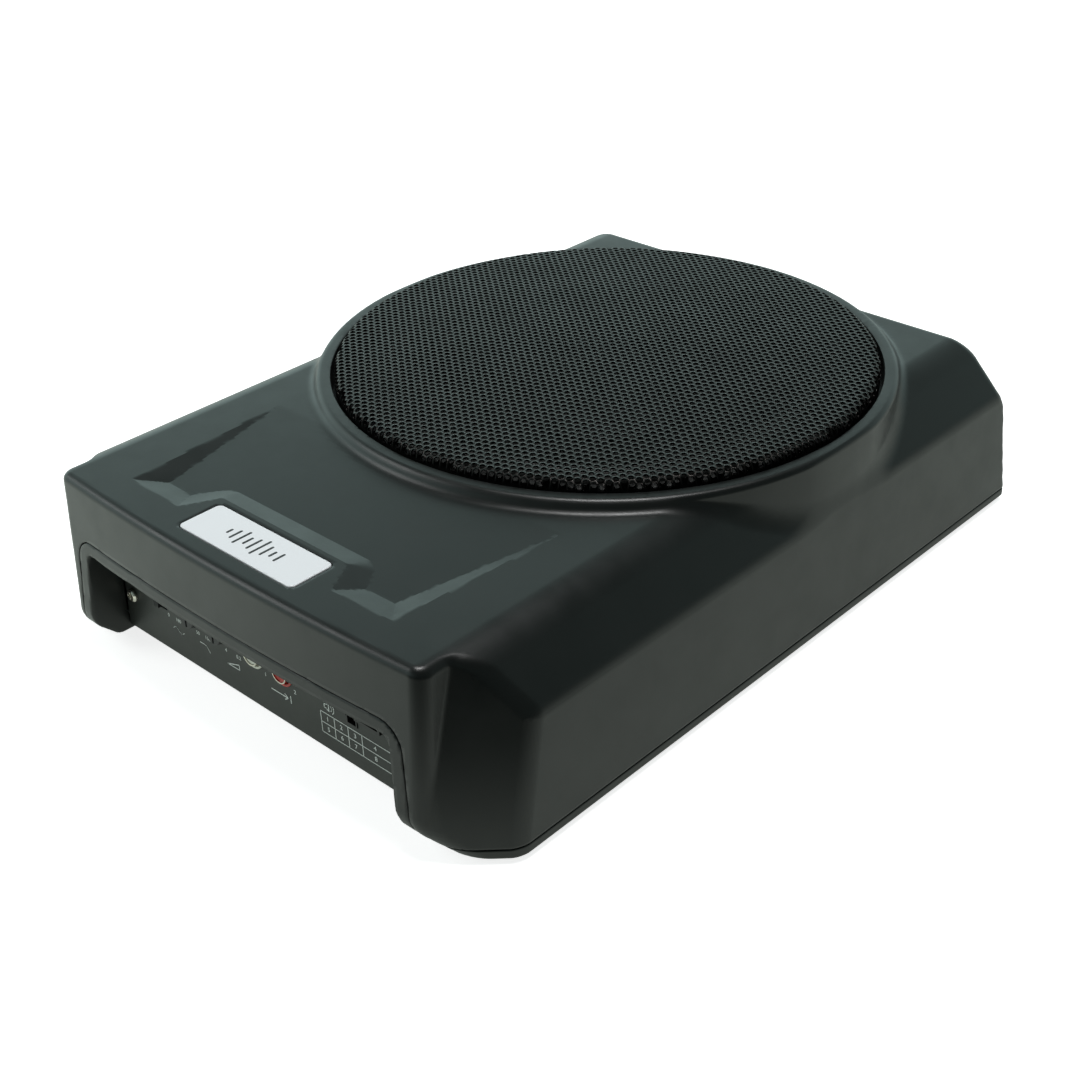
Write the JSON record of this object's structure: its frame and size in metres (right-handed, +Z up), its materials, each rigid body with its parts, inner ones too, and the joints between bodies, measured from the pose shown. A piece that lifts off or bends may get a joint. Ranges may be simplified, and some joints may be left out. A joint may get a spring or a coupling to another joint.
{
  "type": "powered car subwoofer",
  "caption": "Slim under-seat powered subwoofer: two-part plastic cabinet, round domed grille over a woofer, amplifier and recessed control panel.",
  "frame": {"origin": "centre of the cabinet's footprint, on the floor under the rubber feet", "axes": "+Z up, +X to the right seen from the control panel, +Y from the control panel to the back"},
  "size_m": [0.26, 0.3556, 0.0904],
  "materials": {
    "shell_plastic": "satin moulded",
    "tray_plastic": "satin moulded",
    "panel_plastic": "fine matt",
    "foam": "closed-cell foam",
    "black_screw": "black oxide",
    "nickel": "bright nickel",
    "brass": "plain",
    "foot_rubber": "matt",
    "badge_metal": "satin silver",
    "grille_steel": "gloss black powder coat",
    "basket_steel": "black powder coat",
    "surround_rubber": "matt",
    "cone_pulp": "woven moulded",
    "former_foil": "plain",
    "copper": "enamelled copper wire",
    "spider_cloth": "resin-coated weave",
    "plated_steel": "zinc plated",
    "ferrite": "pressed ferrite",
    "phenolic": "laminate",
    "wire_red": "insulation",
    "wire_black": "insulation",
    "black_nylon": "moulded",
    "white_plastic": "moulded",
    "red_plastic": "moulded",
    "board_green": "solder mask",
    "capacitor_sleeve": "shrink sleeve",
    "chip_epoxy": "moulded epoxy",
    "sink_aluminium": "extruded",
    "knob_plastic": "moulded"
  },
  "bodies": {
    "cabinet": {"top_shell": "shell_plastic", "bottom_shell": "tray_plastic", "case_seal": "foam", "case_screws": "black_screw", "bracket_inserts": "brass", "rubber_feet": "foot_rubber", "badge_plate": "badge_metal", "grille": "grille_steel", "basket": "basket_steel", "driver_gasket": "foam", "driver_screws": "black_screw", "surround": "surround_rubber", "spider": "spider_cloth", "top_plate": "plated_steel", "magnet": "ferrite", "yoke": "plated_steel", "terminal_strip": "phenolic", "terminal_lugs": "brass", "tinsel_leads": "copper", "speaker_wire_red": "wire_red", "speaker_wire_black": "wire_black", "control_panel": "panel_plastic", "panel_screws": "nickel", "phase_switch": "black_nylon", "low_pass_pot": "black_nylon", "gain_pot": "black_nylon", "socket_block": "black_nylon", "socket_barrels": "nickel", "socket_insulator_white": "white_plastic", "socket_insulator_red": "red_plastic", "power_connector": "black_nylon", "power_pins": "brass", "amplifier_board": "board_green", "board_screws": "nickel", "filter_capacitors": "capacitor_sleeve", "toroid_transformer": "copper", "output_inductor": "ferrite", "power_transistors": "chip_epoxy", "heat_sink": "sink_aluminium", "driver_chips": "chip_epoxy", "speaker_plug": "white_plastic"},
    "cone_assembly": {"cone": "cone_pulp", "dust_cap": "cone_pulp", "voice_coil_former": "former_foil", "voice_coil": "copper"},
    "phase_slider": {"phase_switch_slider": "knob_plastic"},
    "low_pass_knob": {"low_pass_knob": "knob_plastic"},
    "gain_knob": {"gain_knob": "knob_plastic"}
  },
  "joints": [
    {"name": "cone_travel", "type": "slide", "parent": "cabinet", "child": "cone_assembly", "axis": [0, 0, 1], "range_m": [-0.005, 0.005], "stiffness_N_per_m": 2000, "deforming": ["surround", "spider", "tinsel_leads"]},
    {"name": "phase_slide", "type": "slide", "parent": "cabinet", "child": "phase_slider", "axis": [1, 0, 0], "range_m": [0, 0.003]},
    {"name": "low_pass_turn", "type": "hinge", "parent": "cabinet", "child": "low_pass_knob", "pos_m": [-0.0465, -0.1579, 0.029], "axis": [0, -1, 0], "range_deg": [-140, 140]},
    {"name": "gain_turn", "type": "hinge", "parent": "cabinet", "child": "gain_knob", "pos_m": [-0.029, -0.1579, 0.029], "axis": [0, -1, 0], "range_deg": [-140, 140]}
  ]
}
